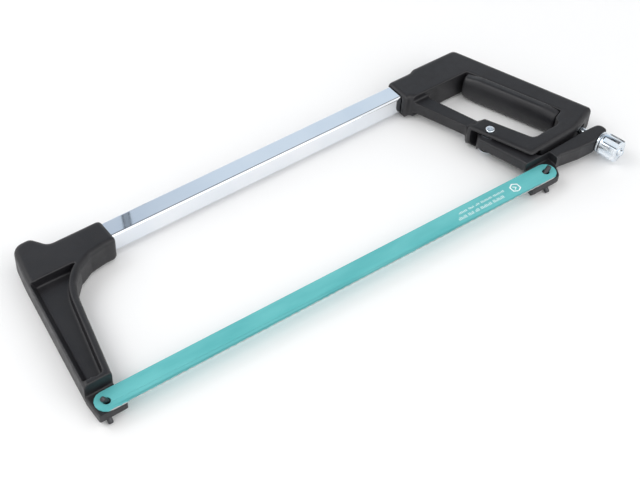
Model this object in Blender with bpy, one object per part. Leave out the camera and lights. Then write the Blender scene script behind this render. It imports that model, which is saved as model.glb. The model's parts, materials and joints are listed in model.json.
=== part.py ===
"""A hacksaw with a D-handle, a square tube frame and a lever that tensions the blade.

The saw lies on its side. +X runs along the tube from the front casting to the handle, +Y runs
across the saw from the blade to the tube, and +Z is the side that faces up. All lengths are in
metres. The saw is drawn from its front blade pin, on the plane halfway through its thickness, and
is moved at the end so that the origin is under the middle of it, on the surface it lies on.
"""

import math

import bmesh
import bpy
from mathutils import Matrix, Vector

MM = 0.001

# Frame and fits
BLADE_SPAN = 300 * MM  # between the centres of the blade's two holes
BLADE_DROP = 5.8 * MM  # the rear blade pin is this much lower than the front one, from the tube
THROAT = 90.8 * MM  # from the front blade pin up to the underside of the tube
FIT_GAP = 0.3 * MM  # between pieces that touch or turn in each other

# Tube and the sleeves that hold it
TUBE_SIZE = 12.8 * MM
TUBE_WALL = 1.2 * MM
TUBE_CORNER = 1.6 * MM
TUBE_FRONT = 14 * MM  # from the front blade pin back to the tube's front end
TUBE_REACH = 15 * MM  # from the rear blade pin back to the tube's rear end
SLEEVE_SIDE = 1.7 * MM  # the wall beside the tube
SLEEVE_TOP = 1.2 * MM  # the wall above the tube
SLEEVE_FLOOR = 4.2 * MM  # the wall under the tube
SLEEVE_MOUTH = 59 * MM  # from the front blade pin back to the front sleeve's mouth
HANDLE_MOUTH = 33.4 * MM  # from the rear blade pin forward to the handle's mouth
CASTING_EDGE = 2.4 * MM  # the rounding of the castings' long edges
WEB_HALF = 2.2 * MM  # half the thickness of the front casting's web
RIM = 4.2 * MM  # the flange along the inside of the front casting
WALL_SLOPE = 4 * MM  # how far the hollow's front wall leans outwards over its depth
TUBE_PIN_RADIUS = 1.5 * MM
FRONT_TUBE_PIN = 22 * MM  # from the tube's front end back to its pin
REAR_TUBE_PIN = 2 * MM  # from the rear blade pin forward to the handle's pin

# Blade and its pins
BLADE_WIDTH = 13 * MM
BLADE_THICKNESS = 0.65 * MM
BLADE_HOLE_RADIUS = 2.3 * MM
BLADE_PIN_RADIUS = 1.5 * MM
BLADE_PIN_LEAN = math.radians(33)  # away from the other pin
BLADE_PIN_STANDS = 4.3 * MM  # along its own axis, above the blade's middle
BLADE_PIN_ROOT = 4.6 * MM  # how deep its root goes below the blade's middle
PIN_TIP = 0.4 * MM  # the chamfer at a pin's ends
ANGLE_PIN_STANDS = 3.2 * MM
ANGLE_PIN_ROOT = 2.8 * MM
SEAT_FACET = 5.4 * MM  # from the blade's middle down to the 45 degree facet

# Lever, its pivot and the stud that pulls it
LEVER_HALF = 5.4 * MM
LEVER_BOSS = 6.5 * MM
PIVOT_BARREL_RADIUS = 2.4 * MM
PIVOT_SCREW_RADIUS = 1.25 * MM
PIVOT_HEAD_RADIUS = 2.8 * MM
PIVOT_HEAD_HEIGHT = 1.3 * MM
PIVOT_HEAD_SINK = 0.7 * MM  # depth of the counterbore for the screw's head
PIVOT_BUSH_WALL = 1.2 * MM
PIVOT_WASHER_RADIUS = 5.6 * MM
PIVOT_WASHER_THICKNESS = 0.4 * MM
STUD_RADIUS = 2.5 * MM
STUD_EYE_RADIUS = 3.8 * MM
STUD_EYE_HALF = 2.4 * MM
STUD_LENGTH = 36 * MM
STUD_LEAN = math.radians(12)  # of its lower end towards the rear
STUD_SWING = math.radians(11)  # forward from rest, as the lever is slackened
STUD_TO_WASHER = 20 * MM  # from the anchor pin down to the washer's upper face
ANCHOR_PIN_RADIUS = 1.5 * MM
TENSION_WASHER_RADIUS = 6.8 * MM
TENSION_WASHER_THICKNESS = 1.5 * MM
WASHER_SEAT = 7 * MM  # half the width of the lever's end, under the washer
NUT_RADIUS = 7.3 * MM
NUT_LENGTH = 12 * MM
NUT_LOBES = 6
NUT_FLUTE = 1.1 * MM

# Handle
GRIP_HALF = 9.2 * MM  # half the thickness of the grip insert
GRIP_DEPTH = 8.2 * MM  # how far the insert stands into the opening
BAR_TOP = 4.2 * MM  # from the middle plane up to the front bar's upper side
BAR_UNDER = 3.6 * MM  # and down to its underside
EAR_CHAMFER = 4.4 * MM  # from the middle plane down to the chamfer on the ear's lower front edge
LEVER_CHAMFER = 1.4 * MM  # the same, on the lever

# Values that follow from those above
REAR_X = math.sqrt(BLADE_SPAN**2 - BLADE_DROP**2)
REAR_PIN = (REAR_X, -BLADE_DROP)
HALF = TUBE_SIZE / 2 + FIT_GAP + SLEEVE_SIDE  # half the thickness of both castings
TUBE_MIDDLE = THROAT + TUBE_SIZE / 2
SLEEVE_LOW = THROAT - FIT_GAP - SLEEVE_FLOOR
SLEEVE_HIGH = THROAT + TUBE_SIZE + FIT_GAP + SLEEVE_TOP
SEAT_Z = -BLADE_THICKNESS / 2 - FIT_GAP
PIVOT = (REAR_X - 9.4 * MM, -BLADE_DROP + 41 * MM)
ANCHOR = (REAR_X + 42.5 * MM, -BLADE_DROP + 20.1 * MM)
STUD_ALONG = Vector((math.sin(STUD_LEAN), -math.cos(STUD_LEAN), 0))
SLOT_HALF = LEVER_HALF + PIVOT_WASHER_THICKNESS + 2 * FIT_GAP
FAR = 40 * MM  # a cutter's overshoot

PAINT = ("black_paint", (0.018, 0.018, 0.02), 0.42, 0.0)
GRIP = ("grip_rubber", (0.022, 0.022, 0.024), 0.5, 0.0)
CHROME = ("chrome", (0.8, 0.82, 0.84), 0.1, 1.0)
STEEL = ("dark_steel", (0.06, 0.06, 0.065), 0.35, 1.0)
BRIGHT = ("bright_steel", (0.6, 0.62, 0.64), 0.25, 1.0)
BRASS = ("bush_brass", (0.6, 0.45, 0.2), 0.35, 1.0)
TEAL = ("blade_paint", (0.2, 0.62, 0.6), 0.4, 0.0)


def clear_scene():
    for obj in list(bpy.data.objects):
        bpy.data.objects.remove(obj)


def material(spec):
    name, colour, roughness, metallic = spec
    found = bpy.data.materials.get(name)
    if found:
        return found
    made = bpy.data.materials.new(name)
    made.use_nodes = True
    shader = made.node_tree.nodes["Principled BSDF"]
    shader.inputs["Base Color"].default_value = (*colour, 1)
    shader.inputs["Roughness"].default_value = roughness
    shader.inputs["Metallic"].default_value = metallic
    return made


def add_object(name, bm, place=None, origin=(0, 0, 0), finish=None):
    """An object from a bmesh drawn in the saw's frame, with its own origin at the point given."""
    if place:
        bmesh.ops.transform(bm, matrix=place, verts=bm.verts)
    bmesh.ops.recalc_face_normals(bm, faces=bm.faces)
    origin = Vector(origin)
    bmesh.ops.translate(bm, vec=-origin, verts=bm.verts)
    mesh = bpy.data.meshes.new(name)
    bm.to_mesh(mesh)
    bm.free()
    obj = bpy.data.objects.new(name, mesh)
    obj.location = origin
    bpy.context.scene.collection.objects.link(obj)
    if finish:
        mesh.materials.append(material(finish))
        mesh.shade_smooth()
        mesh.set_sharp_from_angle(angle=math.radians(35))
    else:
        obj.hide_render = True
        obj.display_type = "WIRE"
    return obj


def from_point(point, *corners):
    """Corners given in millimetres from a point, each with the radius that rounds it."""
    return [(point[0] + x * MM, point[1] + y * MM, r * MM) for x, y, r in corners]


def fillet(before, corner, after, radius):
    """Centre, start angle and sweep of the arc that rounds a corner."""
    here = Vector(corner)
    back = (Vector(before) - here).normalized()
    on = (Vector(after) - here).normalized()
    half = back.angle(on) / 2
    centre = here + (back + on).normalized() * (radius / math.sin(half))
    start = here + back * (radius / math.tan(half)) - centre
    end = here + on * (radius / math.tan(half)) - centre
    first = math.atan2(start.y, start.x)
    sweep = (math.atan2(end.y, end.x) - first + math.pi) % (2 * math.pi) - math.pi
    return centre, first, sweep


def arc(centre, radius, first, sweep, step=24):
    count = max(2, math.ceil(abs(sweep) / math.radians(step)) + 1)
    turns = [first + sweep * i / (count - 1) for i in range(count)]
    return [(centre[0] + radius * math.cos(t), centre[1] + radius * math.sin(t)) for t in turns]


def outline(corners):
    """A closed outline through (x, y, radius) corners."""
    points = []
    for i, (x, y, radius) in enumerate(corners):
        if radius == 0:
            points.append((x, y))
            continue
        before = corners[i - 1][:2]
        after = corners[(i + 1) % len(corners)][:2]
        points += arc(*place_fillet(before, (x, y), after, radius))
    return points


def place_fillet(before, corner, after, radius):
    centre, first, sweep = fillet(before, corner, after, radius)
    return centre, radius, first, sweep


def circle(radius, count=24, centre=(0, 0)):
    return [
        (centre[0] + radius * math.cos(t), centre[1] + radius * math.sin(t))
        for t in (2 * math.pi * i / count for i in range(count))
    ]


def prism(points, low, high, edge=0):
    """A bmesh of an outline between two heights, with its top and bottom edges rounded."""
    bm = bmesh.new()
    floor = bm.faces.new([bm.verts.new((x, y, low)) for x, y in points])
    grown = bmesh.ops.extrude_face_region(bm, geom=[floor])
    tops = [v for v in grown["geom"] if isinstance(v, bmesh.types.BMVert)]
    bmesh.ops.translate(bm, vec=(0, 0, high - low), verts=tops)
    if edge:
        rims = [e for e in bm.edges if abs(e.verts[0].co.z - e.verts[1].co.z) < 1e-7]
        bmesh.ops.bevel(bm, geom=rims, offset=edge, segments=2, profile=0.5, affect="EDGES")
    return bm


def turned(profile, count=24):
    """A bmesh of a closed (radius, height) profile turned about Z. Radius 0 is a pole."""
    bm = bmesh.new()
    rings = []
    for radius, height in profile:
        if radius == 0:
            rings.append([bm.verts.new((0, 0, height))])
        else:
            rings.append([bm.verts.new((x, y, height)) for x, y in circle(radius, count)])
    pairs = list(zip(rings, rings[1:]))
    if len(rings[0]) > 1:
        pairs.append((rings[-1], rings[0]))
    for one, two in pairs:
        for i in range(count):
            j = (i + 1) % count
            corners = [one[i % len(one)], one[j % len(one)], two[j % len(two)], two[i % len(two)]]
            distinct = list(dict.fromkeys(corners))
            if len(distinct) > 2:
                bm.faces.new(distinct)
    return bm


def rod(radius, low, high, tip=0.0):
    """The profile of a solid pin, with a chamfer at both ends."""
    lower = [(0, low), (radius - tip, low), (radius, low + tip)]
    return lower + [(radius, high - tip), (radius - tip, high), (0, high)]


def ring(inner, outer, low, high):
    return [(inner, low), (outer, low), (outer, high), (inner, high)]


def aim(point, direction):
    """A placement whose Z runs along a direction, from a point."""
    turn = Vector((0, 0, 1)).rotation_difference(Vector(direction)).to_matrix().to_4x4()
    return Matrix.Translation(Vector(point)) @ turn


def cut(obj, name, bm, place=None, operation="DIFFERENCE"):
    """Cuts a hidden shape out of an object, or joins it on."""
    helper = add_object(f"{obj.name}_{name}", bm, place)
    modifier = obj.modifiers.new(name, "BOOLEAN")
    modifier.operation = operation
    modifier.object = helper
    return helper


def along_tube():
    """Takes an outline drawn across the tube and lays it along X, centred on the tube."""
    return Matrix(((0, 0, 1, 0), (1, 0, 0, TUBE_MIDDLE), (0, 1, 0, 0), (0, 0, 0, 1)))


def lying():
    """Takes an outline of (y, z) points and lays it along X."""
    return Matrix(((0, 0, 1, 0), (1, 0, 0, 0), (0, 1, 0, 0), (0, 0, 0, 1)))


def square(half, radius):
    signs = ((1, 1), (-1, 1), (-1, -1), (1, -1))
    return outline([(x * half, y * half, radius) for x, y in signs])


def box(low, high):
    corners = [(low[0], low[1]), (high[0], low[1]), (high[0], high[1]), (low[0], high[1])]
    return prism(corners, low[2], high[2])


def blade_pin_axis(toward_rear):
    return Vector((toward_rear * math.sin(BLADE_PIN_LEAN), 0, math.cos(BLADE_PIN_LEAN)))


ANGLE_PIN_AXIS = Vector((0, -math.sqrt(0.5), -math.sqrt(0.5)))


def add_pin(name, host, point, axis, root, stands):
    """A pressed pin and its blind hole in the piece that holds it."""
    hole = turned(rod(BLADE_PIN_RADIUS + FIT_GAP, -root - FIT_GAP, stands))
    cut(host, f"{name}_hole", hole, aim(point, axis))
    pin = turned(rod(BLADE_PIN_RADIUS, -root, stands, PIN_TIP), 20)
    return add_object(name, pin, aim(point, axis), point, STEEL)


def add_seat_pins(prefix, host, pin, toward_rear, shift):
    """The blade pin on a seat, and the pin on its facet for cutting at 45 degrees."""
    at = (pin[0], pin[1], 0)
    axis = blade_pin_axis(toward_rear)
    add_pin(f"{prefix}_blade_pin", host, at, axis, BLADE_PIN_ROOT, BLADE_PIN_STANDS)
    middle = facet_middle(pin[1])
    root = (pin[0] + shift, middle[0], middle[1])
    add_pin(f"{prefix}_angle_pin", host, root, ANGLE_PIN_AXIS, ANGLE_PIN_ROOT, ANGLE_PIN_STANDS)


def facet_middle(pin_y):
    """Y and Z of the middle of the 45 degree facet on a seat's lower edge."""
    depth = HALF - SEAT_FACET
    return pin_y - BLADE_WIDTH / 2 + depth / 2, -SEAT_FACET - depth / 2


def cut_facet(obj, pin_y, low_x, high_x):
    edge = pin_y - BLADE_WIDTH / 2
    deep = -SEAT_FACET - FAR
    corner = [(edge, -SEAT_FACET), (edge + FAR, deep), (edge - FAR, deep), (edge - FAR, -SEAT_FACET)]
    cut(obj, "facet", prism(corner, low_x, high_x), lying())


def make_tube():
    shape = prism(square(TUBE_SIZE / 2, TUBE_CORNER), TUBE_FRONT, REAR_X + TUBE_REACH)
    tube = add_object("frame_tube", shape, along_tube(), finish=CHROME)
    inside = square(TUBE_SIZE / 2 - TUBE_WALL, TUBE_CORNER / 2)
    cut(tube, "bore", prism(inside, TUBE_FRONT - FAR, REAR_X + TUBE_REACH + FAR), along_tube())
    return tube


def cut_socket(casting, low_x, high_x):
    """The blind socket for the tube."""
    shape = prism(square(TUBE_SIZE / 2 + FIT_GAP, TUBE_CORNER), low_x, high_x)
    cut(casting, "socket", shape, along_tube())


def add_tube_pin(name, casting, tube, x):
    """A pin driven in from below through the casting, into the tube's far wall."""
    at = (x, TUBE_MIDDLE, -HALF)
    up = aim(at, (0, 0, 1))
    bore = TUBE_PIN_RADIUS + FIT_GAP
    length = HALF + TUBE_SIZE / 2
    cut(tube, f"{name}_bore", turned(rod(bore, -FAR, length + FIT_GAP)), up)
    cut(casting, f"{name}_bore", turned(rod(bore, -FAR, HALF)), up)
    top = length - TUBE_WALL - FIT_GAP
    return add_object(name, turned(rod(TUBE_PIN_RADIUS, FIT_GAP, top, PIN_TIP), 16), up, at, STEEL)


def front_corners():
    """The side outline of the front casting, anticlockwise from the toe of its blade seat."""
    toe = -BLADE_WIDTH / 2 * 1.015
    heel = from_point((0, 0), (9, 8.5, 0))
    foot = [(-7.8 * MM, toe, 0), (8.6 * MM, toe, 0)]
    under = [(26.6 * MM, SLEEVE_LOW, 31 * MM), (SLEEVE_MOUTH, SLEEVE_LOW, 2.8 * MM)]
    over = [(SLEEVE_MOUTH, SLEEVE_HIGH, 3 * MM), (26.5 * MM, SLEEVE_HIGH, 5 * MM)]
    horn = from_point((0, SLEEVE_HIGH), (20.2, 9.4, 4), (8.6, 9.3, 7.5), (4.6, -11.1, 30))
    return foot + heel + under + over + horn + from_point((0, 0), (-7.6, 8, 10))


def hollow_corners():
    """The front wall's two ends and the lower rear corner of the hollow, on the web."""
    heel, elbow = [Vector(c[:2]) for c in front_corners()[2:4]]
    edge = (elbow - heel).normalized()
    low = heel + Vector((-edge.y, edge.x)) * RIM + edge * 2 * MM
    return Vector((7.4 * MM, SLEEVE_LOW - 1.5 * MM)), Vector((-2.8 * MM, 10.6 * MM)), low


def hollow_outline():
    """The hollow in each side of the front casting's arm, RIM inside its inner edge."""
    heel, elbow, mouth = [c[:2] for c in front_corners()[2:5]]
    radius = front_corners()[3][2]
    centre, first, _ = fillet(heel, elbow, mouth, radius)
    top, toe, low = hollow_corners()
    wide = radius + RIM
    start = first % (2 * math.pi)
    end = math.pi - math.asin((top.y - centre[1]) / wide)
    bend = arc(centre, wide, start, end - start, 10)
    lower = arc(*place_fillet(toe, low, bend[0], 2.5 * MM))
    upper = arc(*place_fillet(bend[-1], top, toe, 1.5 * MM))
    return lower + bend + upper + arc(*place_fillet(top, toe, low, 3.5 * MM))


def lean_front_wall(casting):
    """Leans the front wall of both hollows outwards, from the web to the casting's side."""
    top, toe, _ = hollow_corners()
    along = (top - toe).normalized()
    inward = Vector((along.y, -along.x))
    over = 1 * MM
    out = WALL_SLOPE * (HALF + over - WEB_HALF) / (HALF - WEB_HALF)
    wedge = [(0, WEB_HALF), (over, WEB_HALF), (over, HALF + over), (-out, HALF + over)]
    for name, side in (("upper", 1), ("lower", -1)):
        place = Matrix((
            (inward.x, 0, along.x, toe.x),
            (inward.y, 0, along.y, toe.y),
            (0, side, 0, 0),
            (0, 0, 0, 1),
        ))
        low = 1 * MM
        high = (top - toe).length - 0.2 * MM
        cut(casting, f"{name}_wall", prism(wedge, low, high), place)


def make_front_casting(tube):
    shape = prism(outline(front_corners()), -HALF, HALF, CASTING_EDGE)
    casting = add_object("front_casting", shape, finish=PAINT)
    step = BLADE_WIDTH / 2 + 2 * MM
    cut(casting, "blade_seat", box((-FAR, -FAR, SEAT_Z), (FAR, step, FAR)))
    cut_facet(casting, 0, -FAR, FAR)
    hollow = hollow_outline()
    cut(casting, "upper_hollow", prism(hollow, WEB_HALF, FAR))
    cut(casting, "lower_hollow", prism(hollow, -FAR, -WEB_HALF))
    lean_front_wall(casting)
    cut_socket(casting, TUBE_FRONT - FIT_GAP, SLEEVE_MOUTH + FAR)
    add_seat_pins("front", casting, (0, 0), -1, -2.2 * MM)
    add_tube_pin("front_tube_pin", casting, tube, TUBE_FRONT + FRONT_TUBE_PIN)
    return casting


def make_blade():
    half = BLADE_WIDTH / 2
    rear_end = BLADE_SPAN + half
    ends = ((-half, -half), (rear_end, -half), (rear_end, half), (-half, half))
    shape = outline([(x, y, half) for x, y in ends])
    slope = Matrix.Rotation(-math.asin(BLADE_DROP / BLADE_SPAN), 4, "Z")
    blade = add_object("blade", prism(shape, -BLADE_THICKNESS / 2, BLADE_THICKNESS / 2), slope, finish=TEAL)
    for name, x in (("front_hole", 0), ("rear_hole", BLADE_SPAN)):
        cut(blade, name, prism(circle(BLADE_HOLE_RADIUS, 24, (x, 0)), -FAR, FAR), slope)
    return blade


def grip_line():
    """The back of the grip insert: its lower and upper end on the handle's inner wall."""
    low = Vector((REAR_X + 39.4 * MM, -BLADE_DROP + 29.4 * MM))
    high = Vector((REAR_X + 15.8 * MM, SLEEVE_LOW - 1.9 * MM))
    return low, high


def handle_corners():
    """The outside of the handle, anticlockwise from the mouth of its sleeve."""
    low_mouth = (REAR_X - HANDLE_MOUTH, SLEEVE_LOW, 1 * MM)
    high_mouth = (REAR_X - HANDLE_MOUTH, SLEEVE_HIGH, 2.5 * MM)
    lip = (REAR_X - 29.2 * MM, SLEEVE_LOW, 2 * MM)
    front = from_point(REAR_PIN, (-15.8, 54.6, 3), (-18.6, 50.6, 2.5), (-3.2, 10.4, 2.5))
    bottom = from_point(REAR_PIN, (36.5, 12.1, 12), (57.6, 19.9, 2.6))
    top = from_point((REAR_X, SLEEVE_HIGH), (22.9, 1.5, 4), (-11.4, 1.7, 2), (-15.4, 0, 2))
    return [low_mouth, lip, *front, *bottom, *top, high_mouth]


def opening_corners():
    """The finger opening, anticlockwise from the top of the front bar."""
    low, high = grip_line()
    across = Vector(((low - high).y, -(low - high).x)).normalized()
    shelf = low + across * GRIP_DEPTH
    roof = SLEEVE_LOW - 1.4 * MM
    bar = [(REAR_X - 18 * MM, roof, 3 * MM)]
    ear = from_point(REAR_PIN, (-6.2, 53, 12), (8.1, 20.7, 4))
    corner = (shelf.x - 1.5 * MM, -BLADE_DROP + 21.4 * MM, 3 * MM)
    floor = [corner, (shelf.x, shelf.y, 1.2 * MM), (low.x, low.y, 0)]
    slope = (high.x - low.x) / (high.y - low.y)
    return bar + ear + floor + [(high.x + slope * (roof - high.y), roof, 0)]


def lever_slot():
    """The space between the ears that the lever turns in, open to the front and below."""
    x, y = PIVOT
    room = LEVER_BOSS + 1.4 * MM
    front = [(x - FAR, y + room, 0), (x - 22 * MM, y - FAR, 0)]
    rear = [(x + 14.6 * MM, y - FAR, 0), *from_point(PIVOT, (14.6, -24.5, 3), (7.6, 2, 0))]
    return outline([*front, *rear, (x + 5.5 * MM, y + room, 3 * MM)])


def thin_front_bar(handle):
    """Thins the front bar on both sides, between the top bar and the ear."""
    roof = SLEEVE_LOW - 1.4 * MM
    ear_top = PIVOT[1] + LEVER_BOSS + 7 * MM
    left = REAR_X - 60 * MM
    right = REAR_X + 1 * MM
    slope = ear_top - (HALF - BAR_TOP)
    ramp = [(roof, BAR_TOP), (roof, FAR), (slope, FAR), (slope, HALF), (ear_top, BAR_TOP)]
    cut(handle, "bar_ramp", prism(ramp, left, right), lying())
    cut(handle, "bar_underside", box((left, ear_top, -FAR), (right, roof, -BAR_UNDER)))
    knee, toe = handle_corners()[3:5]
    chamfer_lower_edge(handle, knee, toe, EAR_CHAMFER)


def chamfer_lower_edge(obj, top, low, start):
    """Takes 45 degrees off the lower front edge that runs from a top point to a low one."""
    top = Vector(top[:2])
    along = (Vector(low[:2]) - top).normalized()
    inward = Vector((-along.y, along.x))
    wedge = [(-2 * MM, 2 * MM - start), (HALF, -HALF - start), (-2 * MM, -HALF - start)]
    place = Matrix(((inward.x, 0, along.x, top.x), (inward.y, 0, along.y, top.y), (0, 1, 0, 0), (0, 0, 0, 1)))
    cut(obj, "chamfer", prism(wedge, -0.5 * MM, (Vector(low[:2]) - top).length + 6 * MM), place)


def cut_pivot(handle):
    """A hole for the pivot's barrel nut and a counterbore for the screw's head."""
    hole = PIVOT_BARREL_RADIUS + FIT_GAP
    sink = PIVOT_HEAD_RADIUS + FIT_GAP
    floor = HALF - PIVOT_HEAD_SINK
    profile = [(0, -FAR), (hole, -FAR), (hole, floor), (sink, floor), (sink, FAR), (0, FAR)]
    cut(handle, "pivot_hole", turned(profile), aim((*PIVOT, 0), (0, 0, 1)))


def cut_stud_room(handle):
    """The pocket in the handle's heel where the stud's eye hangs and swings."""
    x, y = ANCHOR
    eye = STUD_EYE_RADIUS + 2 * FIT_GAP
    rear = STUD_RADIUS + 2 * FIT_GAP
    ahead = math.tan(STUD_SWING - STUD_LEAN) * FAR
    behind = math.tan(STUD_LEAN) * FAR
    pocket = [(x - eye, y), (x - rear - max(ahead, 0), y - FAR), (x + rear + behind, y - FAR), (x + eye, y)]
    half = STUD_EYE_HALF + 2 * FIT_GAP
    crown = arc((x, y), eye, 0, math.pi, 30)[1:-1]
    cut(handle, "stud_pocket", prism(pocket + crown, -half, half))


def make_handle(tube):
    shape = prism(outline(handle_corners()), -HALF, HALF, CASTING_EDGE)
    handle = add_object("handle_casting", shape, finish=PAINT)
    cut(handle, "opening", prism(outline(opening_corners()), -FAR, FAR))
    thin_front_bar(handle)
    cut_socket(handle, REAR_X - HANDLE_MOUTH - FAR, REAR_X + TUBE_REACH + FIT_GAP)
    cut(handle, "lever_slot", prism(lever_slot(), -SLOT_HALF, SLOT_HALF))
    cut_pivot(handle)
    cut_stud_room(handle)
    add_tube_pin("rear_tube_pin", handle, tube, REAR_X - REAR_TUBE_PIN)
    add_anchor_pin(handle)
    return handle


def add_anchor_pin(handle):
    """The cross pin that the stud's eye hangs on, driven in from below."""
    at = (*ANCHOR, -HALF)
    top = 2 * HALF - 1.5 * MM
    up = aim(at, (0, 0, 1))
    bore = ANCHOR_PIN_RADIUS + FIT_GAP
    cut(handle, "anchor_bore", turned(rod(bore, -FAR, top + FIT_GAP)), up)
    pin = turned(rod(ANCHOR_PIN_RADIUS, FIT_GAP, top, PIN_TIP), 20)
    return add_object("anchor_pin", pin, up, at, STEEL)


def make_grip_insert():
    """The rounded finger grip, a D-shaped bar laid along the back wall of the opening."""
    low, high = grip_line()
    up = (high - low).normalized()
    inward = Vector((-up.y, up.x))
    length = (high - low).length - 2 * FIT_GAP
    section = [(FIT_GAP, GRIP_HALF * 0.97), (FIT_GAP, -GRIP_HALF * 0.97)]
    turns = [math.radians(-90 + 180 * i / 14) for i in range(15)]
    reach = GRIP_DEPTH - 4 * MM
    section += [(4 * MM + reach * math.cos(t), GRIP_HALF * math.sin(t)) for t in turns]
    place = Matrix(
        ((inward.x, 0, up.x, low.x), (inward.y, 0, up.y, low.y), (0, 1, 0, 0), (0, 0, 0, 1))
    )
    return add_object("grip_insert", prism(section, FIT_GAP, length, 1.2 * MM), place, finish=GRIP)


def lever_corners():
    """The side outline of the lever below its boss: front arm, blade seat and rear arm."""
    x, y = PIVOT
    boss = from_point((x, y), (6.3, -1, 0), (4.6, 6.4, 3), (-3.4, 6.4, 3), (-9.2, 0.5, 3))
    arm = from_point(REAR_PIN, (-8.7, 8, 8), (-16.6, -6.5, 0))
    seat = from_point(REAR_PIN, (5.5, -6.7, 3), (9.6, 1.5, 3), (13.5, 2.2, 0))
    across = Vector((-STUD_ALONG.y, STUD_ALONG.x))
    under = Vector(ANCHOR) + STUD_ALONG.xy * (STUD_TO_WASHER - FIT_GAP)
    end = [(*(under + across * side * WASHER_SEAT), 2 * MM) for side in (-1, 1)]
    top = from_point(REAR_PIN, (53.4, 9.3, 4), (41, 9.9, 0), (2.6, 8.8, 3))
    return boss + arm + seat + from_point(REAR_PIN, (28, -0.2, 10)) + end + top


def make_lever():
    shape = outline(lever_corners())
    bar = prism(shape, -LEVER_HALF, LEVER_HALF, 1.2 * MM)
    lever = add_object("tension_lever", bar, origin=(*PIVOT, 0), finish=PAINT)
    chamfer_lower_edge(lever, lever_corners()[3], lever_corners()[4], LEVER_CHAMFER)
    foot = from_point(REAR_PIN, (-14.5, 1, 1), (-16.6, -6.6, 1.5), (5.5, -6.6, 3), (9.6, 1.5, 3))
    block = prism(outline(foot), -HALF + 1 * MM, -1 * MM, 0.8 * MM)
    cut(lever, "seat_block", block, operation="UNION")
    x, y = REAR_PIN
    step = y + BLADE_WIDTH / 2 + 1.6 * MM
    cut(lever, "blade_seat", box((x - FAR, y - FAR, SEAT_Z), (x + 9.9 * MM, step, FAR)))
    cut_facet(lever, y, x - FAR, x + 14 * MM)
    bush = PIVOT_BARREL_RADIUS + 2 * FIT_GAP + PIVOT_BUSH_WALL
    cut(lever, "bush_hole", turned(rod(bush, -FAR, FAR)), aim((*PIVOT, 0), (0, 0, 1)))
    cut_stud_hole(lever)
    add_seat_pins("rear", lever, REAR_PIN, 1, -3.6 * MM)
    return lever


def cut_stud_hole(lever):
    """An oblong hole, so that the stud can lean in it as the lever turns."""
    room = STUD_RADIUS + 2 * FIT_GAP
    play = 0.9 * MM
    slot = [(x + play * (1 if x > 0 else -1), y) for x, y in circle(room, 24)]
    middle = Vector((*ANCHOR, 0)) + STUD_ALONG * (STUD_TO_WASHER - 4 * MM)
    along = Matrix((
        (-STUD_ALONG.y, 0, STUD_ALONG.x, middle.x),
        (STUD_ALONG.x, 0, STUD_ALONG.y, middle.y),
        (0, -1, 0, 0),
        (0, 0, 0, 1),
    ))
    cut(lever, "stud_hole", prism(slot, -12 * MM, 12 * MM), along)


def make_pivot():
    """A barrel nut with a screw, the lever's bush on it, and a washer on each side of the lever."""
    at = (*PIVOT, 0)
    up = aim(at, (0, 0, 1))
    head_low = HALF - PIVOT_HEAD_SINK + FIT_GAP
    head_high = head_low + PIVOT_HEAD_HEIGHT
    head = PIVOT_HEAD_RADIUS
    dome = [(head, head_low), (head, head_high - 0.6 * MM)]
    dome += [(head * 0.75, head_high - 0.1 * MM), (0, head_high)]
    shank = [(0, 2 * MM), (PIVOT_SCREW_RADIUS, 2 * MM), (PIVOT_SCREW_RADIUS, head_low)]
    screw = add_object("pivot_screw", turned(shank + dome), up, at, BRIGHT)
    slot = box((-FAR, -0.4 * MM, head_high - 0.6 * MM), (FAR, 0.4 * MM, FAR))
    cut(screw, "driver_slot", slot, up @ Matrix.Rotation(math.radians(55), 4, "Z"))
    bore = PIVOT_SCREW_RADIUS + FIT_GAP
    barrel_end = head_low - FIT_GAP
    barrel = [(0, 1 * MM), (bore, 1 * MM), (bore, barrel_end), (PIVOT_BARREL_RADIUS, barrel_end)]
    barrel += [(PIVOT_BARREL_RADIUS, -head_low), (0, -head_low)]
    add_object("pivot_barrel_nut", turned(barrel), up, at, BRIGHT)
    inner = PIVOT_BARREL_RADIUS + FIT_GAP
    bush = turned(ring(inner, inner + PIVOT_BUSH_WALL, -LEVER_HALF, LEVER_HALF))
    add_object("pivot_bush", bush, up, at, BRASS)
    for name, side in (("upper_pivot_washer", 1), ("lower_pivot_washer", -1)):
        low = LEVER_HALF + FIT_GAP
        profile = ring(inner, PIVOT_WASHER_RADIUS, low, low + PIVOT_WASHER_THICKNESS)
        add_object(name, turned(profile), aim(at, (0, 0, side)), at, BRIGHT)


def make_stud():
    """A swing bolt: a flat eye on the anchor pin, and a round shank through the lever."""
    at = (*ANCHOR, 0)
    eye = prism(circle(STUD_EYE_RADIUS), -STUD_EYE_HALF, STUD_EYE_HALF)
    stud = add_object("tension_stud", eye, aim(at, (0, 0, 1)), at, BRIGHT)
    shank = rod(STUD_RADIUS, STUD_EYE_RADIUS * 0.7, STUD_LENGTH, 0.5 * MM)
    cut(stud, "shank", turned(shank), aim(at, STUD_ALONG), "UNION")
    cut(stud, "eye", turned(rod(ANCHOR_PIN_RADIUS + FIT_GAP, -FAR, FAR)), aim(at, (0, 0, 1)))
    return stud


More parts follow.
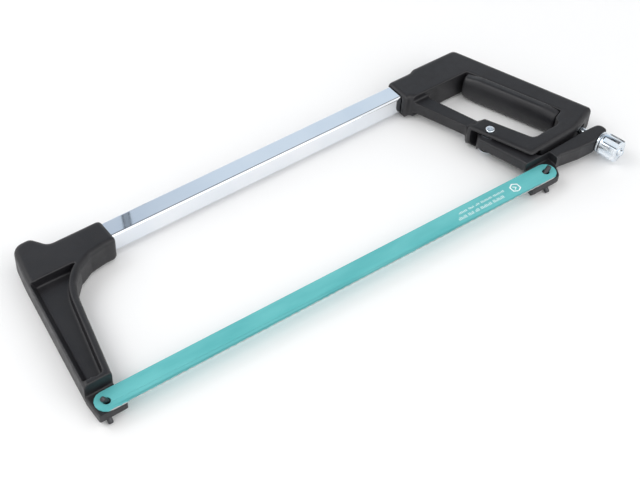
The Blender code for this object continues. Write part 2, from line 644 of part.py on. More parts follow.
def make_tension_nut():
    """The washer under the lever and the fluted thumb nut that presses on it."""
    down = aim((*ANCHOR, 0), STUD_ALONG)
    bore = STUD_RADIUS + FIT_GAP
    washer_end = STUD_TO_WASHER + TENSION_WASHER_THICKNESS
    seat = Vector((*ANCHOR, 0)) + STUD_ALONG * washer_end
    washer = ring(bore, TENSION_WASHER_RADIUS, STUD_TO_WASHER, washer_end)
    add_object("tension_washer", turned(washer, 32), down, seat, CHROME)
    count = NUT_LOBES * 8
    turns = [2 * math.pi * i / count for i in range(count)]
    radii = [NUT_RADIUS - NUT_FLUTE * (0.5 + 0.5 * math.cos(NUT_LOBES * t)) ** 3 for t in turns]
    lobed = [(r * math.cos(t), r * math.sin(t)) for r, t in zip(radii, turns)]
    low = washer_end + FIT_GAP
    nut = add_object("tension_nut", prism(lobed, low, low + NUT_LENGTH, 0.8 * MM), down, seat, CHROME)
    cut(nut, "thread", turned(rod(bore, 0, low + NUT_LENGTH + FAR)), down)


def set_on_surface():
    """Moves the saw so that the origin is under its middle, on the surface that it lies on."""
    bpy.context.view_layer.update()
    graph = bpy.context.evaluated_depsgraph_get()
    corners = []
    for obj in bpy.data.objects:
        if obj.hide_render:
            continue
        shown = obj.evaluated_get(graph)
        corners += [shown.matrix_world @ v.co for v in shown.to_mesh().vertices]
        shown.to_mesh_clear()
    low = Vector([min(c[i] for c in corners) for i in range(3)])
    high = Vector([max(c[i] for c in corners) for i in range(3)])
    middle = (low + high) / 2
    for obj in bpy.data.objects:
        obj.location -= Vector((middle.x, middle.y, low.z))


clear_scene()
frame_tube = make_tube()
make_front_casting(frame_tube)
make_handle(frame_tube)
make_grip_insert()
make_blade()
make_lever()
make_pivot()
make_stud()
make_tension_nut()
set_on_surface()
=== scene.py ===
# %% [markdown]
# # A hacksaw with a D-handle, piece by piece
#
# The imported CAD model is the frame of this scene: it holds every piece at its real size and place, on
# bodies that move. Each step below takes one piece or one finish of the saw, says what it is on the
# real tool, and makes a finer version of it with the tools that a modeller uses by hand.

import json
import math

import bpy
from mathutils import Matrix, Vector


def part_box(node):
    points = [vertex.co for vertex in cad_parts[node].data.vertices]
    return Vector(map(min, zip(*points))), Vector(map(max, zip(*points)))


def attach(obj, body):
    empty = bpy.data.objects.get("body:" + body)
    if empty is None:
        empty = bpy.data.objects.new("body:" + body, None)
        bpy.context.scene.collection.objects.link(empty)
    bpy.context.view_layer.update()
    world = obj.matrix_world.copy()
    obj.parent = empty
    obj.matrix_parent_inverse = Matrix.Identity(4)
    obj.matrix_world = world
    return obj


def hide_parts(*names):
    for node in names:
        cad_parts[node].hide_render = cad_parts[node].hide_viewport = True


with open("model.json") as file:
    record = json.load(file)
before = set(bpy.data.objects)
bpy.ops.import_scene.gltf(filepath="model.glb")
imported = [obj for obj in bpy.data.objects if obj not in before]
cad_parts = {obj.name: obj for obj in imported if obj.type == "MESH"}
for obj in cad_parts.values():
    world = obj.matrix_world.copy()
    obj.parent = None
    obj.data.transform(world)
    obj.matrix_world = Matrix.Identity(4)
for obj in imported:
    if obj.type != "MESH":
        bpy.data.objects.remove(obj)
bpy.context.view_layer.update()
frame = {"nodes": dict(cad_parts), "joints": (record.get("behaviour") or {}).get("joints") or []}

# %% [markdown]
# ## Where things are
#
# All places are counted from the blade's front pin, on the plane halfway through the saw. The blade
# lies exactly on that plane and its end is rounded about the pin, so the blade's own box gives the
# point. The box is a little higher than the blade is wide, because the blade slopes between its two
# pins, and that difference gives the slope.

# %% Places on the saw
MM = 0.001
BLADE_HALF = 6.5 * MM
PIN_SPAN = 300 * MM
blade_low, blade_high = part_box("blade")
BLADE_LEVEL = (blade_low.z + blade_high.z) / 2
PIN = Vector((blade_low.x + BLADE_HALF, blade_high.y - BLADE_HALF, BLADE_LEVEL))
BLADE_SLOPE = math.asin((blade_high.y - blade_low.y - 2 * BLADE_HALF) / PIN_SPAN)


def middle(node):
    """The middle of a CAD node's box."""
    low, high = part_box(node)
    return (low + high) / 2


print("front pin at", [round(v, 4) for v in PIN])
print("the blade slopes by", round(math.degrees(BLADE_SLOPE), 2), "degrees")

# %% [markdown]
# ## Working by hand, in code
#
# Blender's operators act on whatever is selected, so each step starts by selecting one object alone.
# Modifiers are applied as soon as they are set, which leaves plain meshes that the next tool can work
# on. These few helpers do what a modeller does between two mouse clicks.


# %% Helpers for adding and selecting
def alone(obj):
    """Selects only this object and makes it the active one."""
    bpy.ops.object.select_all(action="DESELECT")
    obj.select_set(True)
    bpy.context.view_layer.objects.active = obj
    return obj


def added(name):
    """Names the object that was just added or joined."""
    obj = bpy.context.object
    obj.name = name
    return alone(obj)


def block(name, size, place=(0, 0, 0)):
    """Adds a box by its size along X, Y and Z."""
    bpy.ops.mesh.primitive_cube_add(size=1, location=place, scale=size)
    return added(name)


def round_bar(name, radius, length, sides=40, place=(0, 0, 0)):
    """Adds an upright cylinder by its radius and its length."""
    bpy.ops.mesh.primitive_cylinder_add(vertices=sides, radius=radius, depth=length, location=place)
    return added(name)


def settle(obj):
    """Puts the object's place, turn and scale into its mesh."""
    alone(obj)
    bpy.ops.object.transform_apply(location=True, rotation=True, scale=True)
    return obj


# %% [markdown]
# Shaping comes down to three tools here. A modifier changes the whole mesh, a Boolean cuts one shape
# out of another or joins the two, and a bevel rounds chosen edges. The edges are chosen by where
# their two ends lie, as a modeller would pick them by eye.


# %% Helpers for shaping
def modify(obj, kind, **settings):
    """Adds a modifier with these settings and applies it."""
    alone(obj)
    modifier = obj.modifiers.new(kind.title(), kind)
    for setting, value in settings.items():
        setattr(modifier, setting, value)
    bpy.ops.object.modifier_apply(modifier=modifier.name)
    return obj


def carve(obj, cutter, operation="DIFFERENCE"):
    """Cuts the cutter out of the object, or joins it on, and removes the cutter."""
    modify(obj, "BOOLEAN", operation=operation, object=cutter)
    bpy.data.objects.remove(cutter)
    return obj


def bevel_where(obj, test, width, segments=3):
    """Bevels the edges whose two ends pass a test."""
    alone(obj)
    bpy.ops.object.mode_set(mode="EDIT")
    bpy.ops.mesh.select_all(action="DESELECT")
    bpy.ops.object.mode_set(mode="OBJECT")
    for edge in obj.data.edges:
        ends = [obj.data.vertices[i].co for i in edge.vertices]
        edge.select = test(*ends)
    bpy.ops.object.mode_set(mode="EDIT")
    bpy.ops.mesh.select_mode(type="EDGE")
    bpy.ops.mesh.bevel(offset=width, segments=segments, profile=0.5, affect="EDGES")
    bpy.ops.object.mode_set(mode="OBJECT")
    return obj


def on_a_rim(a, b):
    """A test for edges that lie level, as the two rims of an upright bar do."""
    return abs(a.z - b.z) < MM


def near_the_top(a, b):
    """A test for edges in the upper half of an upright bar."""
    return min(a.z, b.z) > 0


def smooth(obj, angle=35):
    """Shades the object smooth, with edges left sharp past an angle in degrees."""
    alone(obj)
    bpy.ops.object.shade_smooth_by_angle(angle=math.radians(angle))
    return obj


# %% [markdown]
# ## Finishes
#
# Each finish is a small node tree that reads Object coordinates, so its grain has a real size in
# metres. A tint drifts slowly over the surface, a fine noise makes the grain, and a lighter edge comes
# from Geometry's pointiness, which is high where a surface is convex.


def finish(name, colour, roughness, metallic=0.0):
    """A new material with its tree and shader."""
    made = bpy.data.materials.new(name)
    made.use_nodes = True
    tree = made.node_tree
    shader = tree.nodes["Principled BSDF"]
    shader.inputs["Base Color"].default_value = (*colour, 1)
    shader.inputs["Roughness"].default_value = roughness
    shader.inputs["Metallic"].default_value = metallic
    print("finish:", name)
    return made, tree, shader


def noise(tree, scale, detail=4.0, stretch=(1, 1, 1)):
    """A noise over Object coordinates. The scale counts per metre."""
    place = tree.nodes.new("ShaderNodeTexCoord")
    mapping = tree.nodes.new("ShaderNodeMapping")
    mapping.inputs["Scale"].default_value = stretch
    made = tree.nodes.new("ShaderNodeTexNoise")
    made.inputs["Scale"].default_value = scale
    made.inputs["Detail"].default_value = detail
    tree.links.new(place.outputs["Object"], mapping.inputs["Vector"])
    tree.links.new(mapping.outputs["Vector"], made.inputs["Vector"])
    return made.outputs["Fac"]


def ramp(tree, value, *stops):
    """Colours read along a value: each stop is (position, colour or grey)."""
    made = tree.nodes.new("ShaderNodeValToRGB")
    elements = made.color_ramp.elements
    while len(elements) < len(stops):
        elements.new(0.5)
    for element, (position, colour) in zip(elements, stops):
        element.position = position
        element.color = (*colour, 1) if isinstance(colour, tuple) else (colour, colour, colour, 1)
    tree.links.new(value, made.inputs["Fac"])
    return made.outputs["Color"]


def mixed(tree, factor, one, other):
    """One colour going over to another by a factor."""
    made = tree.nodes.new("ShaderNodeMix")
    made.data_type = "RGBA"
    tree.links.new(factor, made.inputs["Factor"])
    for socket, colour in ((made.inputs["A"], one), (made.inputs["B"], other)):
        if isinstance(colour, tuple):
            socket.default_value = (*colour, 1)
        else:
            tree.links.new(colour, socket)
    return made.outputs["Result"]


def feed(tree, shader, socket, value, *stops):
    """Feeds the colours or greys read along a value to one of the shader's sockets."""
    tree.links.new(ramp(tree, value, *stops), shader.inputs[socket])


def bump(tree, shader, height, distance):
    """Raises the surface by a height map, by this many metres from black to white."""
    made = tree.nodes.new("ShaderNodeBump")
    made.inputs["Strength"].default_value = 1.0
    made.inputs["Distance"].default_value = distance
    tree.links.new(height, made.inputs["Height"])
    tree.links.new(made.outputs["Normal"], shader.inputs["Normal"])


def convex_edges(tree, low=0.52, high=0.62):
    """White along convex edges, black elsewhere."""
    geometry = tree.nodes.new("ShaderNodeNewGeometry")
    return ramp(tree, geometry.outputs["Pointiness"], (low, 0.0), (high, 1.0))


# %% [markdown]
# The castings are die cast and then covered with a satin black paint. Paint over a cast skin is never
# quite even: it has a fine orange peel and a faint cloudiness. Its colour is also made lighter along
# all convex edges.

# %% Casting paint
casting_paint, tree, shader = finish(
    "satin black casting paint", (0.012, 0.012, 0.014), 0.45
)
cloud = ramp(
    tree, noise(tree, scale=45), (0.3, (0.008, 0.008, 0.01)), (0.7, (0.014, 0.0135, 0.016))
)
# The colour is made lighter along every convex edge, as read from pointiness.
lightened_edges = mixed(tree, convex_edges(tree), cloud, (0.035, 0.035, 0.037))
tree.links.new(lightened_edges, shader.inputs["Base Color"])
feed(tree, shader, "Roughness", noise(tree, scale=160), (0.3, 0.38), (0.7, 0.54))
bump(tree, shader, noise(tree, scale=1400, detail=6), distance=0.06 * MM)

# %% [markdown]
# The grip is moulded and a shade lighter than the casting. Its surface has a finer, more even grain.

# %% Grip finish
grip_paint, tree, shader = finish("grained grip", (0.012, 0.012, 0.014), 0.42)
drift = noise(tree, scale=60)
feed(tree, shader, "Base Color", drift, (0.3, (0.009, 0.009, 0.011)), (0.7, (0.015, 0.015, 0.018)))
feed(tree, shader, "Roughness", noise(tree, scale=300), (0.3, 0.36), (0.7, 0.5))
bump(tree, shader, noise(tree, scale=2600, detail=3), distance=0.04 * MM)

# %% [markdown]
# The tube is polished and chrome plated. Drawn tube keeps faint lines along its length, so the noise
# for its roughness is stretched along X, and the plate is very slightly blue.

# %% Chrome of the tube
tube_chrome, tree, shader = finish("chrome plate", (0.8, 0.83, 0.87), 0.03, 1.0)
lines = noise(tree, scale=900, detail=3, stretch=(0.01, 1, 1))
feed(tree, shader, "Roughness", lines, (0.3, 0.01), (0.75, 0.035))
drift = noise(tree, scale=25)
feed(tree, shader, "Base Color", drift, (0.3, (0.78, 0.82, 0.87)), (0.7, (0.86, 0.88, 0.91)))
bump(tree, shader, lines, distance=0.0005 * MM)

# %% [markdown]
# The nut, its washer, the stud and the pivot screw are bright zinc. Zinc plate is bluer and less even
# than chrome, with small cloudy patches.

# %% Bright zinc
bright_zinc, tree, shader = finish(
    "bright zinc plate", (0.72, 0.78, 0.84), 0.2, 1.0
)
patches = noise(tree, scale=220, detail=5)
feed(tree, shader, "Roughness", patches, (0.3, 0.14), (0.7, 0.32))
feed(tree, shader, "Base Color", patches, (0.3, (0.66, 0.75, 0.84)), (0.7, (0.84, 0.87, 0.9)))
bump(tree, shader, noise(tree, scale=1800, detail=2), distance=0.01 * MM)

# %% [markdown]
# The pins are hardened steel, ground and then blackened by the bath. Grinding leaves fine scratches
# that run round a pin. They are a noise drawn out in X and Y and left short in Z.

# %% Pin steel
pin_steel, tree, shader = finish(
    "blackened pin steel", (0.07, 0.07, 0.075), 0.3, 1.0
)
scratches = noise(tree, scale=1500, detail=4, stretch=(0.3, 0.3, 1))
feed(tree, shader, "Roughness", scratches, (0.3, 0.28), (0.7, 0.46))
drift = noise(tree, scale=200)
feed(tree, shader, "Base Color", drift, (0.3, (0.05, 0.05, 0.055)), (0.7, (0.1, 0.1, 0.105)))
bump(tree, shader, scratches, distance=0.01 * MM)

# %% [markdown]
# The pivot's bush is a short length of drawn brass. It sits deep in the lever, so a plain warm metal
# with faint lines along it is enough, and its noise is drawn out in Z.

# %% Bush brass
bush_brass, tree, shader = finish("bush brass", (0.6, 0.45, 0.2), 0.3, 1.0)
lines = noise(tree, scale=1200, detail=3, stretch=(1, 1, 0.05))
feed(tree, shader, "Roughness", lines, (0.3, 0.22), (0.7, 0.4))
drift = noise(tree, scale=150)
feed(tree, shader, "Base Color", drift, (0.3, (0.55, 0.4, 0.17)), (0.7, (0.66, 0.5, 0.25)))
bump(tree, shader, lines, distance=0.01 * MM)

# %% [markdown]
# The blade is dipped in a thin teal enamel. It is brushed through along the toothed edge, where bare
# steel shows, so the enamel's share is read from the distance to that edge. The blade slopes a little,
# and a Mapping node turns the pattern with it. A noise is added to the distance, which makes the line
# between enamel and steel ragged.

# %% Blade enamel
BARE_UP_TO = -6.6 * MM
PAINTED_FROM = -5.2 * MM
RAGGEDNESS = 0.9
blade_paint, tree, shader = finish("teal enamel", (0.2, 0.55, 0.53), 0.36)
place = tree.nodes.new("ShaderNodeTexCoord")
level = tree.nodes.new("ShaderNodeMapping")
level.vector_type = "TEXTURE"
level.inputs["Location"].default_value = PIN
level.inputs["Rotation"].default_value = (0, 0, -BLADE_SLOPE)
across = tree.nodes.new("ShaderNodeSeparateXYZ")
tree.links.new(place.outputs["Object"], level.inputs["Vector"])
tree.links.new(level.outputs["Vector"], across.inputs["Vector"])
depth = tree.nodes.new("ShaderNodeMapRange")
depth.inputs["From Min"].default_value = BARE_UP_TO
depth.inputs["From Max"].default_value = PAINTED_FROM
tree.links.new(across.outputs["Y"], depth.inputs["Value"])
ragged = tree.nodes.new("ShaderNodeMath")
ragged.operation = "MULTIPLY_ADD"
ragged.inputs[1].default_value = RAGGEDNESS
tree.links.new(noise(tree, scale=500, detail=5), ragged.inputs[0])
tree.links.new(depth.outputs["Result"], ragged.inputs[2])

# %% [markdown]
# The enamel itself runs in soft streaks along the blade, because it drains off as the blade is drawn
# out of the bath. The streaks tint it and change its gloss, and a finer grain lies under both.

# %% Streaks of the enamel
painted = ramp(tree, ragged.outputs["Value"], (0.55, 0.0), (0.75, 1.0))
streaks = noise(tree, scale=120, detail=4, stretch=(0.25, 1, 1))
teal = ramp(tree, streaks, (0.3, (0.1, 0.435, 0.45)), (0.7, (0.14, 0.51, 0.52)))
brushed = mixed(tree, painted, (0.42, 0.43, 0.43), teal)
tree.links.new(brushed, shader.inputs["Base Color"])
feed(tree, shader, "Roughness", streaks, (0.3, 0.3), (0.7, 0.44))
bump(tree, shader, noise(tree, scale=900, detail=4, stretch=(0.3, 1, 1)), distance=0.015 * MM)
print("below the pins' line the enamel is whole for", round(-PAINTED_FROM / MM, 1), "mm")

# %% [markdown]
# The marks on the blade are white ink. It lies thinly on the enamel, so a little teal shows through
# in small patches.

# %% Printing ink
print_white, tree, shader = finish("white print", (0.85, 0.9, 0.9), 0.5)
thinness = noise(tree, scale=1500, detail=5)
feed(tree, shader, "Base Color", thinness, (0.35, (0.62, 0.8, 0.79)), (0.5, (0.86, 0.9, 0.9)))
bump(tree, shader, noise(tree, scale=900), distance=0.01 * MM)

# %% [markdown]
# ## Handing a piece over
#
# A finished piece gets its material, hides the CAD node that it stands for, and is told which body it
# rides on. From then on it moves with the saw's joints. A piece that stands for no node of its own,
# such as a print, rides along all the same.


# %% Helper that hands a piece over
def finished(obj, look, body, *nodes):
    """Gives a piece its finish, lets it stand for CAD nodes and makes it move with a body."""
    obj.data.materials.clear()
    obj.data.materials.append(look)
    if nodes:
        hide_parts(*nodes)
    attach(obj, body)
    print(f"{obj.name}: {len(obj.data.polygons)} faces, on the {body}")
    return obj


# %% [markdown]
# ## The frame tube
#
# A square steel tube with rounded corners joins the two castings. The corners carry the bright line
# that runs along the tube, so they need to be truly round. A box is added at the tube's size and its
# four long edges are bevelled with many segments; the ends stay flat, because the sockets hide them.
# Weighted normals keep the four sides optically flat, as a mirror needs, and leave the curve to the
# corners.

# %% Frame tube
TUBE_CORNER = 1.6 * MM
LONG_EDGE = 100 * MM
tube_low, tube_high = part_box("frame_tube")
tube = settle(block("frame_tube_plated", tube_high - tube_low, middle("frame_tube")))
bevel_where(tube, lambda a, b: abs(a.x - b.x) > LONG_EDGE, TUBE_CORNER, 8)
smooth(tube, 60)
modify(tube, "WEIGHTED_NORMAL", weight=100, keep_sharp=True)
finished(tube, tube_chrome, "frame", "frame_tube")

# %% [markdown]
# ## The castings
#
# The front arm, the handle and the lever are die castings. Every edge of a casting is soft, inside
# corners too, because molten metal and paint both round them. Bevelling each edge of such a shape by
# hand is slow and breaks where they meet. Instead a copy of the CAD shape is rebuilt by a fine voxel
# Remesh, and its steps are smoothed away: that rounds every corner alike. Half of the faces are then
# enough to hold the shape.


# %% Helpers for castings
KEPT_FACES = 0.5
SAME_POINT = 0.01 * MM


def copy_of(node, name):
    """A copy of a CAD node's mesh as an object of its own, with its loose triangles merged."""
    source = frame["nodes"][node]
    obj = bpy.data.objects.new(name, source.data.copy())
    bpy.context.scene.collection.objects.link(obj)
    obj.data.materials.clear()
    alone(obj)
    bpy.ops.object.mode_set(mode="EDIT")
    bpy.ops.mesh.select_all(action="SELECT")
    bpy.ops.mesh.remove_doubles(threshold=SAME_POINT)
    bpy.ops.mesh.normals_make_consistent(inside=False)
    bpy.ops.object.mode_set(mode="OBJECT")
    return obj


def soften(obj, voxel, passes):
    """Rebuilds a casting from small voxels and smooths them, so that all its corners turn round."""
    modify(obj, "REMESH", mode="VOXEL", voxel_size=voxel, adaptivity=0.0)
    modify(obj, "SMOOTH", factor=0.5, iterations=passes)
    modify(obj, "DECIMATE", ratio=KEPT_FACES)
    alone(obj)
    bpy.ops.object.shade_smooth()
    return obj


# %% [markdown]
# The front arm holds the tube in a socket and carries the blade's front pin. It is a large plain shape,
# so voxels of half a millimetre follow it well, and one pass more than on the handle softens its rim.

# %% Front arm
front_arm = soften(copy_of("front_casting", "front_arm_cast"), voxel=0.5 * MM, passes=6)
finished(front_arm, casting_paint, "frame", "front_casting")

# %% [markdown]
# The handle is one casting with the rear socket, the bar in front of the fingers, the slotted ear for
# the lever and the heel for the swing bolt. It gets the same voxels and a little less smoothing, so
# that the slot's walls stay straight.

# %% Handle
handle = soften(copy_of("handle_casting", "handle_cast"), voxel=0.5 * MM, passes=5)
finished(handle, casting_paint, "frame", "handle_casting")

# %% [markdown]
# The lever is the smallest casting, and it moves in narrow gaps between the ears. Finer voxels keep
# its thickness true, and since each pass then moves the surface less, its corners stay crisper.

# %% Lever
lever = soften(copy_of("tension_lever", "lever_cast"), voxel=0.32 * MM, passes=5)
finished(lever, casting_paint, "lever", "tension_lever")

# %% [markdown]
# ## The grip
#
# The grip is a moulding pressed against the back wall of the opening. It stands a little prouder than
# the casting, and its bulge fades out towards both ends. The bulge is pressed flatter there: the
# nearer a point is to an end, the more its height over the middle plane is scaled down. The fade is
# eased at both sides, so that no line shows where it begins.

# %% Grip
GRIP_FADE = 11 * MM
GRIP_END_SHARE = 0.86
grip = soften(copy_of("grip_insert", "grip_moulding"), voxel=0.4 * MM, passes=16)
points = sorted((v.co.copy() for v in grip.data.vertices), key=lambda point: point.y)
grip_along = (points[-1] - points[0]).normalized()
grip_along.z = 0
reach = [v.co.dot(grip_along) for v in grip.data.vertices]
first, last = min(reach), max(reach)
for vertex, at in zip(grip.data.vertices, reach):
    near = min(1, min(at - first, last - at) / GRIP_FADE)
    ease = near * near * (3 - 2 * near)
    vertex.co.z = PIN.z + (vertex.co.z - PIN.z) * (GRIP_END_SHARE + (1 - GRIP_END_SHARE) * ease)
finished(grip, grip_paint, "frame", "grip_insert")

# %% [markdown]
# ## The blade
#
# A hacksaw blade is a thin strip with a hole at each end and about a tooth every millimetre. Each gap
# between two teeth is cut with a three-sided prism. One prism is modelled, a row of them is made with
# an Array, and one Boolean cuts them all from a copy of the strip.

# %% Blade with teeth
TOOTH_PITCH = 1.06 * MM
TOOTH_DEPTH = 0.8 * MM
TOOTHED_FROM = 9 * MM
TOOTHED_TO = 291 * MM
GAP_RADIUS = 0.75 * MM
GAP_LENGTH = 4 * MM
GAP_TURN = math.radians(60)
GAP_NARROWED = 0.62
blade = copy_of("blade", "blade_toothed")
gaps = round_bar("tooth_gaps", GAP_RADIUS, GAP_LENGTH, sides=3)
gaps.rotation_euler = (0, 0, GAP_TURN)
gaps.scale = (GAP_NARROWED, 1, 1)
settle(gaps)
count = round((TOOTHED_TO - TOOTHED_FROM) / TOOTH_PITCH)
modify(gaps, "ARRAY", count=count, use_relative_offset=False, use_constant_offset=True,
       constant_offset_displace=(TOOTH_PITCH, 0, 0))
top = max(v.co.y for v in gaps.data.vertices)
slope = Matrix.Rotation(-BLADE_SLOPE, 4, "Z")
start = slope @ Vector((TOOTHED_FROM, -BLADE_HALF + TOOTH_DEPTH - top, 0))
gaps.rotation_euler = (0, 0, -BLADE_SLOPE)
gaps.location = PIN + start
settle(gaps)
carve(blade, gaps)
print("teeth:", count)

# %% [markdown]
# The teeth are then set: they wave gently from side to side, so that the cut is wider than the blade
# and the blade doesn't bind in it. A fine blade has such a wave rather than single bent teeth. Each
# point near the toothed edge is moved sideways along a sine, and the move fades out up the blade.

# %% Set of the teeth
SET_WAVE = 5 * MM
SET_WIDTH = 0.16 * MM
SET_DEPTH = 2.2 * MM
for vertex in blade.data.vertices:
    flat = slope.inverted() @ (vertex.co - PIN)
    share = 1 - (flat.y + BLADE_HALF) / SET_DEPTH
    if share > 0 and TOOTHED_FROM < flat.x < TOOTHED_TO:
        vertex.co.z += SET_WIDTH * share * math.sin(2 * math.pi * flat.x / SET_WAVE)
smooth(blade, 20)
finished(blade, blade_paint, "blade", "blade")

# %% [markdown]
# ## Pins
#
# Each blade pin stands out of its seat and leans away from the other pin, so that tension pulls the
# blade down. The two shorter pins stand on sloping faces and hold the blade turned on its side. A pin
# is a ground cylinder with a rounded tip: a cylinder is added upright, its tip is bevelled, and it is
# turned to the CAD pin's own direction.


# %% Pins
PIN_RADIUS = 1.5 * MM
PIN_TIP = 0.42 * PIN_RADIUS
BLADE_PIN_LENGTH = 8.9 * MM
ANGLE_PIN_LENGTH = 5.9 * MM
PIN_LEAN = math.radians(33)


def ground_pin(node, direction, body, length):
    """A round-tipped pin in the place of a CAD pin, along a direction."""
    piece = round_bar(f"{node}_ground", PIN_RADIUS, length)
    bevel_where(piece, near_the_top, PIN_TIP, 4)
    piece.rotation_euler = Vector((0, 0, 1)).rotation_difference(direction).to_euler()
    piece.location = middle(node)
    settle(smooth(piece))
    return finished(piece, pin_steel, body, node)


leaning_forward = Vector((-math.sin(PIN_LEAN), 0, math.cos(PIN_LEAN)))
leaning_back = Vector((math.sin(PIN_LEAN), 0, math.cos(PIN_LEAN)))
down_and_out = Vector((0, -1, -1)).normalized()
ground_pin("front_blade_pin", leaning_forward, "frame", BLADE_PIN_LENGTH)
ground_pin("rear_blade_pin", leaning_back, "lever", BLADE_PIN_LENGTH)
ground_pin("front_angle_pin", down_and_out, "frame", ANGLE_PIN_LENGTH)
ground_pin("rear_angle_pin", down_and_out, "lever", ANGLE_PIN_LENGTH)

# %% [markdown]
# ## Pieces that stay as they are
#
# The pins of the tube and the anchor pin lie flush in the castings, and the pivot's inner pieces are
# inside it. Their CAD shapes are already right, so each only gets its finish.

# %% Finishes of the pieces that stay
STAYING = {
    "front_tube_pin": pin_steel,
    "rear_tube_pin": pin_steel,
    "anchor_pin": pin_steel,
    "upper_pivot_washer": bright_zinc,
    "lower_pivot_washer": bright_zinc,
    "pivot_barrel_nut": bright_zinc,
    "pivot_bush": bush_brass,
}
for node, look in STAYING.items():
    materials = frame["nodes"][node].data.materials
    materials.clear()
    materials.append(look)
    print(f"{node}: {look.name}")

# %% [markdown]
# ## The pivot screw
#
# The bright head beside the opening is a small pan head with a cross slot. It is a short cylinder
# whose upper rim is bevelled so widely, in many segments, that it becomes a low dome. The shank is
# joined on below, and the cross is two bars taken out of the top.

# %% Pivot screw
HEAD_HEIGHT = 1.3 * MM
HEAD_ROUNDING = 0.62 * MM
SHANK_RADIUS = 1.25 * MM
SHANK_LENGTH = 6.2 * MM
SHANK_MIDDLE = -3.6 * MM
CROSS_BAR = (3 * MM, 0.55 * MM, 1.1 * MM)
CROSS_TURNS = (35, 125)
head_low, head_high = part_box("pivot_screw")
screw = round_bar("pivot_screw_head", (head_high.x - head_low.x) / 2, HEAD_HEIGHT, sides=48)
bevel_where(screw, near_the_top, HEAD_ROUNDING, 6)
shank = round_bar("screw_shank", SHANK_RADIUS, SHANK_LENGTH, sides=24, place=(0, 0, SHANK_MIDDLE))
carve(screw, shank, "UNION")
for turn in CROSS_TURNS:
    bar = block("cross_bar", CROSS_BAR, (0, 0, HEAD_HEIGHT / 2))
    bar.rotation_euler = (0, 0, math.radians(turn))
    carve(screw, settle(bar))
head_middle = middle("pivot_screw")
screw.location = (head_middle.x, head_middle.y, head_high.z - HEAD_HEIGHT / 2)
settle(smooth(screw, 30))
finished(screw, bright_zinc, "frame", "pivot_screw")

# %% [markdown]
# ## The tension screw
#
# A swing bolt hangs in the handle's heel and passes through the end of the lever. A washer and a fluted
# thumb nut draw the lever up along it. All three share one axis, so they are modelled upright about Z
# and one helper lays them along the bolt.

# %% Axis of the tension screw
STUD_LEAN = math.radians(12)
along_stud = Vector((math.sin(STUD_LEAN), -math.cos(STUD_LEAN), 0))
anchor = middle("anchor_pin")
anchor.z = PIN.z
nut_joint = next(joint for joint in frame["joints"] if joint["name"] == "nut_spin")
washer_end = Vector(nut_joint["pos_m"])
print("washer's far face at", [round(v, 4) for v in washer_end])


def lay_on_stud(piece, point):
    """Turns an upright piece so that its Z runs along the stud from a point."""
    turned = along_stud.to_track_quat("Z", "Y").to_matrix().to_4x4()
    piece.matrix_world = Matrix.Translation(point) @ turned
    return settle(piece)


# %% [markdown]
# The swing bolt is an eye with a stud. The eye is a short upright bar with softened rims, at the
# anchor pin. Two bars are joined to it along the stud: a plain neck, and a thinner core that carries
# the thread. The hole for the anchor pin is drilled last, through everything.

# %% Swing bolt
STUD_RADIUS = 2.5 * MM
STUD_LENGTH = 36 * MM
STUD_START = 2 * MM
THREAD_DEPTH = 0.45 * MM
THREAD_FROM = 9 * MM
EYE_RADIUS = 3.8 * MM
EYE_WIDTH = 4.8 * MM
EYE_BORE = 1.8 * MM
DRILL_LENGTH = 20 * MM
eye = round_bar("swing_bolt", EYE_RADIUS, EYE_WIDTH)
bevel_where(eye, on_a_rim, 0.5 * MM)
eye.location = anchor
settle(eye)
core = round_bar("bolt_core", STUD_RADIUS - THREAD_DEPTH, STUD_LENGTH - STUD_START)
bevel_where(core, near_the_top, 0.6 * MM)
lay_on_stud(core, anchor + along_stud * ((STUD_LENGTH + STUD_START) / 2))
carve(eye, core, "UNION")
neck = round_bar("bolt_neck", STUD_RADIUS, THREAD_FROM - STUD_START)
lay_on_stud(neck, anchor + along_stud * ((THREAD_FROM + STUD_START) / 2))
carve(eye, neck, "UNION")
carve(eye, round_bar("eye_bore", EYE_BORE, DRILL_LENGTH, place=anchor))
smooth(eye, 30)
finished(eye, bright_zinc, "stud", "tension_stud")

# %% [markdown]
# The thread is a ridge that winds round the core. A small triangle is drawn beside the axis, and the
# Screw modifier carries it round and along, one pitch for each turn. The triangle reaches a little
# into the core, so that no gap shows at its foot. The ridge's two open ends are closed with a face.

# %% Thread ridge
THREAD_PITCH = 1.25 * MM
THREAD_END = 1.5 * MM
RIDGE_WIDTH = 0.84 * THREAD_PITCH
RIDGE_FOOT = 0.1 * MM
RIDGE_STEPS = 32
turns = math.floor((STUD_LENGTH - THREAD_FROM - THREAD_END) / THREAD_PITCH)
bpy.ops.mesh.primitive_circle_add(vertices=3, radius=THREAD_PITCH / 2, fill_type="NGON")
ridge = added("bolt_thread")
inner = STUD_RADIUS - THREAD_DEPTH - RIDGE_FOOT
profile = [(inner, 0.0), (STUD_RADIUS, RIDGE_WIDTH / 2), (inner, RIDGE_WIDTH)]
for vertex, (out, height) in zip(ridge.data.vertices, profile):
    vertex.co = (out, 0, height)
modify(ridge, "SCREW", axis="Z", screw_offset=THREAD_PITCH, iterations=turns, steps=RIDGE_STEPS,
       render_steps=RIDGE_STEPS, use_merge_vertices=False)
bpy.ops.object.mode_set(mode="EDIT")
bpy.ops.mesh.select_all(action="SELECT")
bpy.ops.mesh.remove_doubles(threshold=0.001 * MM)
bpy.ops.mesh.select_all(action="DESELECT")
bpy.ops.mesh.select_non_manifold(extend=False, use_wire=False, use_multi_face=False,
                                 use_non_contiguous=False, use_verts=False)
bpy.ops.mesh.edge_face_add()
bpy.ops.mesh.select_all(action="SELECT")
bpy.ops.mesh.normals_make_consistent(inside=False)
bpy.ops.object.mode_set(mode="OBJECT")
lay_on_stud(ridge, anchor + along_stud * THREAD_FROM)
